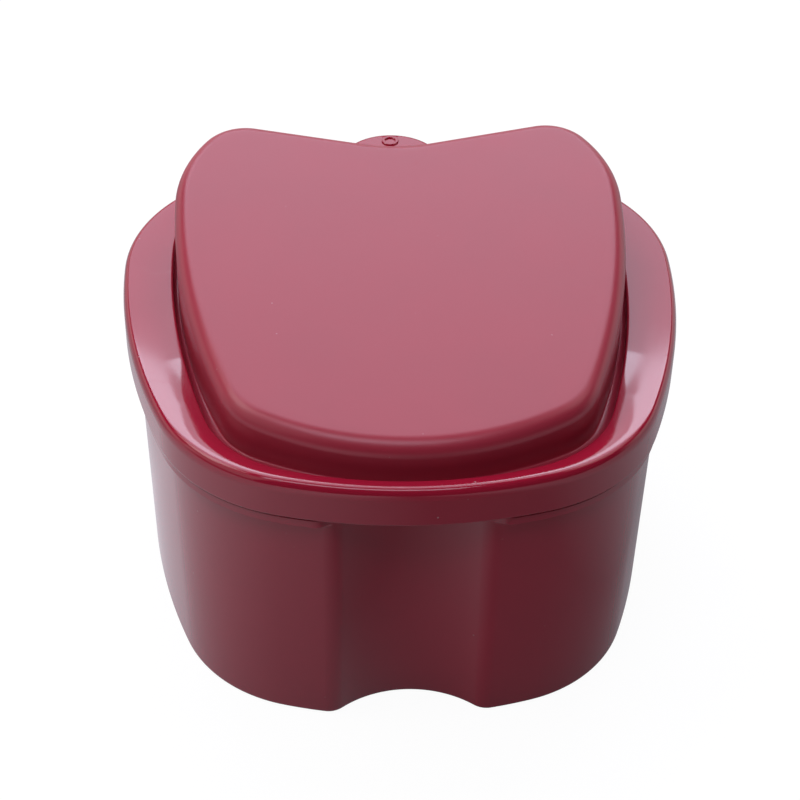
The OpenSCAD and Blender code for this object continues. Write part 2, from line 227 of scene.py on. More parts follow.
class FinishLook(bpy.types.PropertyGroup):
    """Colours and gloss of the finishes."""
    plastic: colour("Case plastic", "Colour of the cup and lid", (0.355, 0.0085, 0.031))
    plastic_gloss: number("Plastic roughness", "Roughness of the case plastic", 0.08, 0.02, 0.6)
    satin: number("Satin roughness", "Roughness of the cap and its channel", 0.34, 0.02, 0.6)
    plastic_ior: number("Plastic IOR", "Index of refraction of the case plastic", 1.5, 1.3, 1.6)
    basket: colour("Basket plastic", "Colour of the strainer basket", (0.78, 0.77, 0.74))
    seal: colour("Seal", "Colour of the seal ring", (0.62, 0.62, 0.60))
    pin: colour("Pin", "Colour of the steel pin", (0.62, 0.63, 0.65))


class StudioLook(bpy.types.PropertyGroup):
    """Lamps, floor and surroundings."""
    softbox: number("Softbox", "Radiance of the large softbox behind", 2.8, 0, 30)
    softbox_tint: colour("Softbox colour", "Colour of the softbox", (0.80, 0.84, 1.0))
    strip: number("Rear strip", "Radiance added in a low strip of that softbox", 4.6, 0, 60)
    top: number("Top softbox", "Radiance of the softbox overhead", 4.2, 0, 60)
    left: number("Left fill", "Radiance of the fill from the front left", 0.7, 0, 30)
    sides: number("Side lamps", "Radiance of the softbox on the left; the right one has a share", 3.6, 0, 30)
    ambient: number("Ambient", "Strength of the even light all round", 0.04, 0, 2)
    floor: colour("Floor", "Colour of the floor", (0.40, 0.40, 0.40))
    floor_white: number("Floor white", "Share of plain white that the eye sees", 0.8, 0, 1)
    floor_level: number("Floor level", "Strength of that white", 1.18, 0, 2)


GROUPS = {"case_outline": CaseOutlineSizes, "case_cup": CupSizes, "case_lid": LidSizes,
          "case_hinge": HingeSizes, "case_basket": BasketSizes, "case_finish": FinishLook,
          "case_studio": StudioLook}


class Millimetres:
    """Reads a property group's lengths in millimetres and its angles in degrees."""

    def __init__(self, group):
        for name in group.bl_rna.properties.keys():
            prop = group.bl_rna.properties[name]
            if prop.type == "FLOAT" and not prop.is_array:
                scale = 1 / MM if prop.unit == "LENGTH" else 1
                if prop.subtype == "ANGLE":
                    scale = 180 / math.pi
                setattr(self, name, getattr(group, name) * scale)


# ------------------------------------------------------------------ outlines
def sin(degrees):
    return math.sin(math.radians(degrees))


def cos(degrees):
    return math.cos(math.radians(degrees))


def tan(degrees):
    return math.tan(math.radians(degrees))


class Arc(NamedTuple):
    """A centre, a radius and the headings an arc turns through. A hollow arc has a negative radius."""
    x: float
    y: float
    radius: float
    first: float
    last: float

    def at(self, heading):
        """The point where the arc has that heading."""
        return self.x + self.radius * sin(heading), self.y - self.radius * cos(heading)

    def then(self, radius, last):
        """The arc of another radius that goes on from this one's end to a last heading."""
        return arc_from(self.at(self.last), radius, self.last, last)


def arc_from(point, radius, first, last):
    """An arc that starts at a point with its first heading."""
    return Arc(point[0] - radius * sin(first), point[1] + radius * cos(first), radius, first, last)


def quarter(half, reach, corner, start, end):
    """Radii of the end arc and the side arc of a quarter outline.

    Between them lies a corner of known radius, from the start heading to the end heading."""
    a, b, c, d = sin(start), 1 - sin(end), 1 - cos(start), cos(end)
    across = half - corner * (sin(end) - sin(start))
    along = reach - corner * (cos(start) - cos(end))
    det = a * d - b * c
    return (across * d - b * along) / det, (a * along - c * across) / det


def pair(half, reach, heading):
    """Radii of the end arc and the side arc of a quarter outline that meet at a heading."""
    a, b, c, d = sin(heading), 1 - sin(heading), 1 - cos(heading), cos(heading)
    det = a * d - b * c
    return (half * d - b * reach) / det, (a * reach - c * half) / det


class Outline:
    """A closed run of arcs as points and outward normals, so that it can be drawn in."""

    def __init__(self, arcs):
        stretches = self.stretches(arcs)
        edges = np.cumsum([0] + [weight for weight, _, _ in stretches])
        points, normals = [], []
        for k in range(POINTS):
            place = edges[-1] * k / POINTS
            i = min(int(np.searchsorted(edges, place, "right")) - 1, len(stretches) - 1)
            weight, curve, line = stretches[i]
            share = (place - edges[i]) / weight
            if line:
                heading = curve.last
                points.append([line[0][j] + (line[1][j] - line[0][j]) * share for j in (0, 1)])
            else:
                heading = curve.first + (curve.last - curve.first) * share
                points.append(curve.at(heading))
            normals.append((sin(heading), -cos(heading)))
        self.points, self.normals = np.array(points), np.array(normals)

    @staticmethod
    def stretches(arcs):
        """The arcs, and the straight lines where two don't meet, each with its share of the points."""
        front = arcs[0]
        middle = (front.first + front.last) / 2
        runs = [front._replace(first=middle), *arcs[1:], front._replace(last=middle)]
        found = []
        for curve, following in zip(runs, runs[1:] + runs[:1]):
            turn = math.radians(abs(curve.last - curve.first))
            found.append((turn * (abs(curve.radius) + TURN_WEIGHT), curve, None))
            end, start = curve.at(curve.last), following.at(following.first)
            if math.dist(end, start) > MEETING:
                found.append((math.dist(end, start), curve, (end, start)))
        return found

    def inset(self, distance):
        """The points drawn in by a distance, which may differ from point to point."""
        return self.points - np.reshape(distance, (-1, 1)) * self.normals

    def ring(self, distance, z):
        """One level of a skin: the outline drawn in by a distance, at height z."""
        xy = self.inset(distance)
        return np.column_stack([xy, np.broadcast_to(z, len(xy))])


def closed_outline(front, side, back):
    """A whole outline from its front arc, the arcs of its right side and its back arc."""
    left = [Arc(-a.x, a.y, a.radius, -a.last, -a.first) for a in reversed(side)]
    return Outline([front, *side, back, *left])


def flange_arcs(case):
    """The front arc, the arcs of the right side and the back arc of the flange's edge."""
    front_radius, side_radius = quarter(case.width / 2, case.front_reach, case.front_corner,
                                        case.front_arc, case.side_arc)
    back_radius, rear_radius = pair(case.width / 2, case.back_reach, case.back_arc)
    front = arc_from((0, -case.front_reach), front_radius, 0, case.front_arc)
    corner = front.then(case.front_corner, case.side_arc)
    side = corner.then(side_radius, 90)
    rear = side.then(rear_radius, 180 - case.back_arc)
    back = rear.then(back_radius, 180 + case.back_arc)
    return front, [corner, side, rear], back


def flange_outline(case):
    """The outer edge of the lid's flange."""
    front, side, back = flange_arcs(case)
    return closed_outline(front._replace(first=-case.front_arc), side, back)


class Scoop:
    """The thumb scoop and the two crests beside it, as arcs carried out to the flange's edge."""

    def __init__(self, case, cup):
        front = flange_arcs(case)[0]
        self.radius = cup.scoop - cup.wall_inset
        self.crest_radius = cup.crest + cup.wall_inset
        reach = front.radius - self.crest_radius
        self.crest_heading = math.degrees(math.asin(cup.scoop_half / reach))
        self.crest_y = front.y - reach * cos(self.crest_heading)
        span = self.radius + self.crest_radius
        self.heading = math.degrees(math.asin(cup.scoop_half / span))
        self.y = self.crest_y - span * cos(self.heading)


def cup_outline(case, cup):
    """The flange outline with the thumb scoop let into its front."""
    front, side, back = flange_arcs(case)
    scoop = Scoop(case, cup)
    bay = Arc(0.0, scoop.y, -scoop.radius, scoop.heading, -scoop.heading)
    crest = Arc(cup.scoop_half, scoop.crest_y, scoop.crest_radius, -scoop.heading, scoop.crest_heading)
    return closed_outline(bay, [crest, front._replace(first=scoop.crest_heading), *side], back)


def lip_outline(case, lid):
    """The outer edge of the sunk channel: front arc, corners, sides, rear corners and back arc."""
    front_y, back_y = -(case.front_reach - LIP_FRONT_IN), case.back_reach - LIP_BACK_IN
    front_corner, front_turn, side_turn = 19, 18, 73
    rear_corner, back_turn, rear_turn = 13, 12, 75
    front_radius, side_radius = quarter(lid.lip_half, LIP_Y - front_y, front_corner, front_turn, side_turn)
    back_radius, rear_radius = quarter(lid.lip_half, back_y - LIP_Y, rear_corner, back_turn, rear_turn)
    front = arc_from((0, front_y), front_radius, 0, front_turn)
    corner = front.then(front_corner, side_turn)
    side = corner.then(side_radius, 90)
    rear_side = side.then(rear_radius, 180 - rear_turn)
    rear = rear_side.then(rear_corner, 180 - back_turn)
    back = rear.then(back_radius, 180 + back_turn)
    return closed_outline(front._replace(first=-front_turn), [corner, side, rear_side, rear], back)


def cap_front_y(case):
    """Where the cap's front edge lies."""
    return -(case.front_reach - CAP_FRONT_IN)


def cap_outline(case, lid):
    """The cap: front arc, corners, sides, rear lobes and the saddle between them."""
    front_y = cap_front_y(case)
    front_corner, front_turn, side_turn = 12, 29, 69
    front_radius, side_radius = quarter(lid.cap_half, CAP_Y - front_y, front_corner, front_turn, side_turn)
    front = arc_from((0, front_y), front_radius, 0, front_turn)
    corner = front.then(front_corner, side_turn)
    side = corner.then(side_radius, 90)
    # The rear side turns in from the widest line until the lobe takes over.
    run = lid.lobe_reach - lid.lobe
    turn = math.degrees(2 * math.atan(lid.lobe_in / run))
    rear_side = side.then(lid.lobe + run / sin(turn), 90 + turn)
    lobe = rear_side.then(lid.lobe, 180 + lid.saddle_slope)
    # A straight line leads from each lobe to the hollow arc of the saddle.
    lobe_x, lobe_y = lobe.at(lobe.last)
    saddle_x = lid.saddle * sin(lid.saddle_slope)
    saddle_y = lobe_y - (lobe_x - saddle_x) * tan(lid.saddle_slope)
    saddle = Arc(0.0, saddle_y + lid.saddle * cos(lid.saddle_slope), -lid.saddle,
                 180 + lid.saddle_slope, 180 - lid.saddle_slope)
    return closed_outline(front._replace(first=-front_turn), [corner, side, rear_side, lobe], saddle)


# ------------------------------------------------------------------ mesh helpers
def new_object(name, mesh):
    obj = bpy.data.objects.new(name, mesh)
    bpy.context.scene.collection.objects.link(obj)
    return obj


def drop(obj):
    """Removes an object and its mesh."""
    mesh = obj.data
    bpy.data.objects.remove(obj)
    bpy.data.meshes.remove(mesh)


def placed(points, case):
    """Shape millimetres to frame metres."""
    return (np.asarray(points, float) + (0, case.shift, 0)) * MM


def tidy(mesh, merge=1e-7):
    """Merges doubles and turns every face outwards."""
    bm = bmesh.new()
    bm.from_mesh(mesh)
    bmesh.ops.remove_doubles(bm, verts=bm.verts, dist=merge)
    bmesh.ops.dissolve_degenerate(bm, edges=bm.edges, dist=merge)
    bmesh.ops.recalc_face_normals(bm, faces=bm.faces)
    bm.to_mesh(mesh)
    bm.free()


def skin(name, rings, case, first=None, last=None):
    """A closed skin over rings of equal count. Each end closes on a point, its middle by default."""
    count, levels = len(rings[0]), len(rings)
    start = rings[0].mean(0) if first is None else first
    end = rings[-1].mean(0) if last is None else last
    points = np.concatenate([*rings, [start], [end]])
    low, high = count * levels, count * levels + 1
    top = count * (levels - 1)
    faces = []
    for i in range(count):
        j = (i + 1) % count
        faces.append((j, i, low))
        faces.append((top + i, top + j, high))
        for k in range(0, top, count):
            faces.append((k + i, k + j, k + count + j, k + count + i))
    mesh = bpy.data.meshes.new(name)
    mesh.from_pydata(placed(points, case).tolist(), [], faces)
    tidy(mesh)
    return new_object(name, mesh)


def quarter_turn(steps):
    """Angles from 0 to 90 degrees for the steps of a rounding."""
    return [90 * i / steps for i in range(steps + 1)]


def rounded_foot(outline, inset, z, radius, steps):
    """Rings that start flat at height z and bend up into a wall at an inset."""
    return [outline.ring(inset + radius * (1 - sin(a)), z + radius * (1 - cos(a)))
            for a in quarter_turn(steps)]


def rounded_top(outline, inset, z, radius, steps):
    """Rings that leave a wall at an inset and bend in to lie flat at height z."""
    return [outline.ring(inset + radius * (1 - cos(a)), z - radius * (1 - sin(a)))
            for a in quarter_turn(steps)[1:]]


def prism(name, outline, inset, z0, z1, case):
    """An upright solid on an outline that is drawn in by an inset."""
    return skin(name, [outline.ring(inset, z0), outline.ring(inset, z1)], case)


def block(name, x0, x1, y0, y1, z0, z1, case):
    """A plain block between two corners."""
    corners = [(x, y, z) for z in (z0, z1) for x, y in ((x0, y0), (x1, y0), (x1, y1), (x0, y1))]
    faces = [(3, 2, 1, 0), (4, 5, 6, 7), (0, 1, 5, 4), (1, 2, 6, 5), (2, 3, 7, 6), (3, 0, 4, 7)]
    mesh = bpy.data.meshes.new(name)
    mesh.from_pydata(placed(corners, case).tolist(), [], faces)
    return new_object(name, mesh)


def lathe(name, profile, centre, axis, case, count=96):
    """Turns a profile of (radius, height) pairs round an axis, closed at both ends."""
    turn = np.linspace(0, 2 * math.pi, count, endpoint=False)
    rings = []
    for radius, height in profile:
        across, along, level = radius * np.cos(turn), radius * np.sin(turn), np.full(count, height)
        columns = {"X": [level, across, along], "Z": [across, along, level]}[axis]
        rings.append(np.column_stack(columns) + np.array(centre))
    return skin(name, rings, case)


def rod(name, radius, x0, x1, y, z, case, chamfer=0.0):
    """A round rod along X, with chamfered ends where a chamfer is given."""
    profile = [(radius, x0), (radius, x1)]
    if chamfer:
        profile = [(radius - chamfer, x0), (radius, x0 + chamfer),
                   (radius, x1 - chamfer), (radius - chamfer, x1)]
    return lathe(name, profile, (0, y, z), "X", case)


def settle(obj):
    """Bakes an object's modifiers into its mesh."""
    bpy.context.view_layer.update()
    graph = bpy.context.evaluated_depsgraph_get()
    mesh = bpy.data.meshes.new_from_object(obj.evaluated_get(graph))
    obj.modifiers.clear()
    old, obj.data = obj.data, mesh
    bpy.data.meshes.remove(old)
    return obj


def combine(base, other, kind):
    """Adds another solid to base, or cuts it out of base, and removes it."""
    mod = base.modifiers.new("Combine", "BOOLEAN")
    mod.operation, mod.object, mod.solver = kind, other, "MANIFOLD"
    before = len(base.data.polygons)
    settle(base)
    if not base.data.polygons or (kind == "UNION" and len(base.data.polygons) < before / 2):
        raise RuntimeError(f"{base.name}: combining with {other.name} failed")
    drop(other)
    return base


def cut(base, other):
    return combine(base, other, "DIFFERENCE")


def add(base, other):
    return combine(base, other, "UNION")


def within(line, places):
    """Which places (x, y) lie inside a closed line."""
    inside = np.zeros(len(places), bool)
    for (ax, ay), (bx, by) in zip(line, np.roll(line, -1, axis=0)):
        if ay != by:
            beside = (places[:, 1] < ay) != (places[:, 1] < by)
            inside ^= beside & (places[:, 0] < ax + (places[:, 1] - ay) * (bx - ax) / (by - ay))
    return inside


def mark_satin(obj, line, case):
    """Marks the vertices inside a line, whose finish is satin."""
    mesh = obj.data
    places = np.empty(len(mesh.vertices) * 3)
    mesh.vertices.foreach_get("co", places)
    places = places.reshape(-1, 3)[:, :2] / MM - (0, case.shift)
    satin = mesh.attributes.new("satin", "FLOAT", "POINT")
    satin.data.foreach_set("value", within(line, places).astype(np.float32))


def finish_mesh(obj, material, body, nodes, sharp=32):
    """Smooth shading split at sharp edges, a material, and the piece's place in the frame."""
    tidy(obj.data, 2e-7)
    obj.data.shade_smooth()
    obj.data.set_sharp_from_angle(angle=math.radians(sharp))
    mod = obj.modifiers.new("Normals", "WEIGHTED_NORMAL")
    mod.keep_sharp, mod.weight, mod.mode = True, 60, "FACE_AREA_WITH_ANGLE"
    settle(obj)
    obj.data.materials.clear()
    obj.data.materials.append(material)
    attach(obj, body)
    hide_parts(*nodes)


# ------------------------------------------------------------------ materials
class Wire:
    """A shader socket that takes part in Python arithmetic by adding Math nodes."""

    def __init__(self, shader, socket):
        self.shader, self.socket = shader, socket

    def maths(self, operation, *values, clamp=False):
        return self.shader.node("ShaderNodeMath", {"operation": operation, "use_clamp": clamp},
                                dict(enumerate(values)))

    def __add__(self, other):
        return self.maths("ADD", self, other)

    def __sub__(self, other):
        return self.maths("SUBTRACT", self, other)

    def __rsub__(self, other):
        return self.maths("SUBTRACT", other, self)

    def __mul__(self, other):
        return self.maths("MULTIPLY", self, other)

    def __truediv__(self, other):
        return self.maths("DIVIDE", self, other)

    __radd__, __rmul__ = __add__, __mul__

    def __abs__(self):
        return self.maths("ABSOLUTE", self)

    def clamped(self):
        return self.maths("ADD", self, 0.0, clamp=True)

    def outputs(self, *keys):
        """Other outputs of the node that this socket belongs to."""
        return [Wire(self.shader, self.socket.node.outputs[key]) for key in keys]


class Shader:
    """Builds one node tree, for a material or the world."""

    def __init__(self, tree):
        self.tree = tree
        tree.nodes.clear()

    def node(self, kind, settings=None, inputs=None, output=0):
        made = self.tree.nodes.new(kind)
        for key, value in (settings or {}).items():
            setattr(made, key, value)
        for key, value in (inputs or {}).items():
            if isinstance(value, Wire):
                self.tree.links.new(value.socket, made.inputs[key])
            else:
                made.inputs[key].default_value = value
        return Wire(self, made.outputs[output]) if len(made.outputs) else None

    def coordinate(self, output):
        return self.node("ShaderNodeTexCoord", output=output)

    def noise(self, vector, scale, detail=2.0):
        return self.node("ShaderNodeTexNoise", {}, {"Vector": vector, "Scale": scale, "Detail": detail})

    def mixed(self, share, low, high):
        """The colour that lies a share of the way from one colour to another."""
        return self.node("ShaderNodeMix", {"data_type": "RGBA"}, {0: share, 6: low, 7: high}, output=2)

    def bump(self, height, strength=1.0):
        """Relief on the surface, from a height in millimetres."""
        return self.node("ShaderNodeBump", {}, {"Strength": strength, "Distance": MM, "Height": height})

    def surface(self, **inputs):
        """Ends a material in a Principled surface."""
        named = {key.replace("_", " "): value for key, value in inputs.items()}
        made = self.node("ShaderNodeBsdfPrincipled", {}, named)
        self.node("ShaderNodeOutputMaterial", {}, {"Surface": made})


def new_material(name, base):
    """An empty material in its plain colour, and the shader that fills it."""
    material = bpy.data.materials.new(name)
    material.use_nodes = True
    material.diffuse_color = (*base, 1.0)
    return material, Shader(material.node_tree)


def shade(base, factor):
    """A colour made darker or lighter."""
    return (*[min(1, channel * factor) for channel in base], 1)


def moulded_plastic(name, base, roughness, ior, wave=1.0, specks=1.0, satin=None):
    """Moulded plastic: a faint cloud in the colour, slow waviness, fine scratches and dust.

    Where the mesh is marked satin, it has the satin roughness and a painted sheen: its colour is a trace
    paler."""
    material, shader = new_material(name, base)
    place = shader.coordinate("Object")
    cloud = shader.noise(place, 60.0, 3.0)
    grain = shader.noise(place, 900.0)
    slow = shader.noise(place, 45.0, 1.0)
    # Dust lies in the middles of a few small cells, and only in some patches.
    cells = shader.node("ShaderNodeTexVoronoi", {"feature": "F1"}, {"Vector": place, "Scale": 420.0})
    patches = ((shader.noise(place, 130.0) - 0.60) * 14).clamped()
    dust = ((0.085 - cells) * 35).clamped() * patches * specks
    # Scratches are short stretches of a noise's contour line.
    curl = shader.noise(place, 170.0, 0.0)
    line = (1 - abs(curl - 0.47) * 260).clamped()
    scuff = line * ((shader.noise(place, 75.0, 0.0) - 0.66) * 25).clamped()
    clouded = shader.mixed((cloud - 0.35) * 1.4, shade(base, 0.95), shade(base, 1.05))
    tone = shader.mixed(dust * 0.3, clouded, (0.62, 0.5, 0.5, 1))
    rough = roughness + (cloud - 0.5) * 0.04 + (grain - 0.5) * 0.02 + scuff * 0.10 + dust * 0.25
    if satin is not None:
        marked = shader.node("ShaderNodeAttribute", {"attribute_name": "satin"}, output=2)
        rough = rough + marked * (satin - roughness)
        # Painted sheen: the colour is lifted a trace towards white, standing in for the white that the
        # satin's fine texture scatters.
        tone = shader.mixed(marked * 0.02, tone, (0.75, 0.7, 0.75, 1))
    relief = (slow - 0.5) * (0.05 * wave) + (grain - 0.5) * 0.0005 - scuff * 0.002 + dust * 0.004
    shader.surface(Base_Color=tone, Roughness=rough, IOR=ior, Normal=shader.bump(relief))
    return material


def soft_silicone(name, base):
    """Matt silicone with a fine tooth."""
    material, shader = new_material(name, base)
    place = shader.coordinate("Object")
    cloud = shader.noise(place, 90.0)
    tooth = shader.noise(place, 2500.0)
    tone = shader.mixed(cloud, shade(base, 0.9), shade(base, 1))
    rough = 0.5 + (cloud - 0.5) * 0.2
    shader.surface(Base_Color=tone, Roughness=rough, IOR=1.41, Normal=shader.bump(tooth * 0.02, 0.6))
    return material


def drawn_steel(name, base):
    """Drawn steel wire: fine lines along its length, a little darkening."""
    material, shader = new_material(name, base)
    place = shader.coordinate("Object")
    along = shader.node("ShaderNodeMapping", {}, {"Vector": place, "Scale": (60.0, 3000.0, 3000.0)})
    lines = shader.noise(along, 1.0, 3.0)
    tone = shader.mixed(shader.noise(place, 400.0), shade(base, 0.75), shade(base, 1))
    rough = 0.22 + (lines - 0.5) * 0.2
    shader.surface(Base_Color=tone, Metallic=1.0, Roughness=rough, Normal=shader.bump(lines * 0.01, 0.5))
    return material


def finish_of(name):
    """Each finish is made once and shared."""
    if name in bpy.data.materials:
        return bpy.data.materials[name]
    look = bpy.context.scene.case_finish
    if name == "lid_plastic":
        return moulded_plastic(name, look.plastic, look.plastic_gloss, look.plastic_ior, satin=look.satin)
    if name == "cup_plastic":
        return moulded_plastic(name, look.plastic, look.plastic_gloss, look.plastic_ior)
    if name == "basket_plastic":
        return moulded_plastic(name, look.basket, roughness=0.32, ior=1.48, wave=0.5, specks=0.3)
    if name == "seal_silicone":
        return soft_silicone(name, look.seal)
    return drawn_steel(name, look.pin)


# ------------------------------------------------------------------ cup
def sizes():
    """The sizes of the case, the cup, the lid, the hinge and the basket, in millimetres."""
    scene = bpy.context.scene
    groups = ("case_outline", "case_cup", "case_lid", "case_hinge", "case_basket")
    return [Millimetres(getattr(scene, name)) for name in groups]


def skirt_height(lid):
    """Height of the skirt's lower edge over the table."""
    return lid.flange_height - lid.skirt_height


def hinge_line(case, lid, hinge):
    """Where the hinge's axis lies, as y and z."""
    return case.back_reach + hinge.back, skirt_height(lid) + hinge.rise


def eased(share):
    """Smooths both ends of a rise from 0 to 1."""
    return share * share * (3 - 2 * share)


def ledge_share(case, cup, outline):
    """How far the ledge stands out: fully all round, dying away on the crests by the scoop."""
    scoop = Scoop(case, cup)
    x, y = outline.points.T
    beside = np.hypot(x, y - scoop.y) - scoop.radius
    share = np.clip((beside - LEDGE_START) / LEDGE_GROWTH, 0, 1)
    share[y > -case.front_reach / 2] = 1
    return eased(share)


def cup_shell(case, cup, lid, outline):
    """The outside of the cup: foot, drafted wall and ledge. The inside is cut later."""
    skirt_z = skirt_height(lid)
    high_inset = cup.wall_inset - cup.draft
    stand = ledge_share(case, cup, outline) * (high_inset - cup.ledge_inset)
    ledge_top = skirt_z - LEDGE_GAP
    ledge_low = ledge_top - cup.ledge_height
    rings = rounded_foot(outline, cup.wall_inset, 0, cup.foot, 8)
    for z in np.linspace(cup.foot + 0.4, ledge_low - 1.2, 6):
        rings.append(outline.ring(cup.wall_inset - cup.draft * z / ledge_low, z))
    # The ledge swells out of the wall over 0.7 mm round its lower edge.
    for share in np.linspace(0, 1, 9):
        rings.append(outline.ring(high_inset - stand * eased(share), ledge_low - 0.25 + 0.7 * share))
    rings += rounded_top(outline, high_inset - stand, ledge_top, LEDGE_ROUNDING, 4)
    rings.append(outline.ring(cup.wall_inset + 0.3, ledge_top))
    rings.append(outline.ring(cup.wall_inset + 0.3, skirt_z + 0.5))
    middle = outline.inset(cup.wall_inset).mean(0)
    return skin("cup_shell", rings, case, first=(*middle, 0.0), last=(*middle, skirt_z + 0.5))


def cup_mouth(case, cup, flange, skirt_z, mouth_z):
    """The mouth, which runs straight across the scoop."""
    rings = [flange.ring(cup.mouth_inset, skirt_z), flange.ring(cup.mouth_inset, mouth_z - MOUTH_ROUNDING)]
    rings += rounded_top(flange, cup.mouth_inset, mouth_z, MOUTH_ROUNDING, 4)
    return skin("mouth", rings, case)


def add_hinge_arm(body, side, case, cup, lid, hinge):
    """Adds the arm that springs from the wall on one side of the lid's knuckle, with its knuckle."""
    near = hinge.lid_knuckle / 2 + hinge.end_gap
    x0, x1 = sorted((side * near, side * (near + hinge.cup_knuckle)))
    hinge_y, hinge_z = hinge_line(case, lid, hinge)
    wall_y, root_z, top_z = case.back_reach - cup.wall_inset, hinge_z - ARM_ROOT, skirt_height(lid) - 0.2
    profile = [(wall_y - 1, root_z), (wall_y, root_z),
               (hinge_y, root_z + (hinge_y - wall_y) * tan(ARM_SLOPE)),
               (hinge_y, top_z), (wall_y - 1, top_z)]
    rings = [np.array([(x, y, z) for y, z in profile]) for x in (x0, x1)]
    add(body, skin("arm", rings, case))
    add(body, rod("knuckle", hinge.knuckle, x0, x1, hinge_y, hinge_z, case))


def hollow_cup(body, case, cup, lid, outline, flange):
    """Cuts the well, the basket's seat and the mouth's throat."""
    skirt_z = skirt_height(lid)
    mouth_z = skirt_z + cup.mouth_height
    seat_z, over_z = mouth_z - cup.seat_depth, mouth_z + 1
    middle = outline.inset(cup.wall_inset).mean(0)
    inset = cup.wall_inset + cup.wall
    well = rounded_foot(outline, inset, cup.floor, WELL_ROUNDING, 5) + [outline.ring(inset, over_z)]
    cut(body, skin("well", well, case, first=(*middle, cup.floor), last=(*middle, over_z)))
    throat = cup.mouth_inset + cup.mouth
    seat = [outline.ring(throat, seat_z), outline.ring(throat, over_z)]
    cut(body, skin("seat", seat, case, first=(*middle, seat_z), last=(*middle, over_z)))
    cut(body, prism("throat", flange, throat, skirt_z + 1.2, over_z, case))


class CASE_OT_cup(bpy.types.Operator):
    """Builds the cup with its thumb scoop, ledge, mouth and hinge arms"""
    bl_idname = "case.cup"
    bl_label = "Cup"

    def execute(self, context):
        case, cup, lid, hinge, _ = sizes()
        outline, flange = cup_outline(case, cup), flange_outline(case)
        skirt_z = skirt_height(lid)
        body = cup_shell(case, cup, lid, outline)
        add(body, cup_mouth(case, cup, flange, skirt_z, skirt_z + cup.mouth_height))
        for side in (-1, 1):
            add_hinge_arm(body, side, case, cup, lid, hinge)
        hollow_cup(body, case, cup, lid, outline, flange)
        hinge_y, hinge_z = hinge_line(case, lid, hinge)
        cut(body, rod("bore", hinge.pin, -BORE_HALF, BORE_HALF, hinge_y, hinge_z, case))
        finish_mesh(body, finish_of("cup_plastic"), "cup", ["cup"])
        return {"FINISHED"}


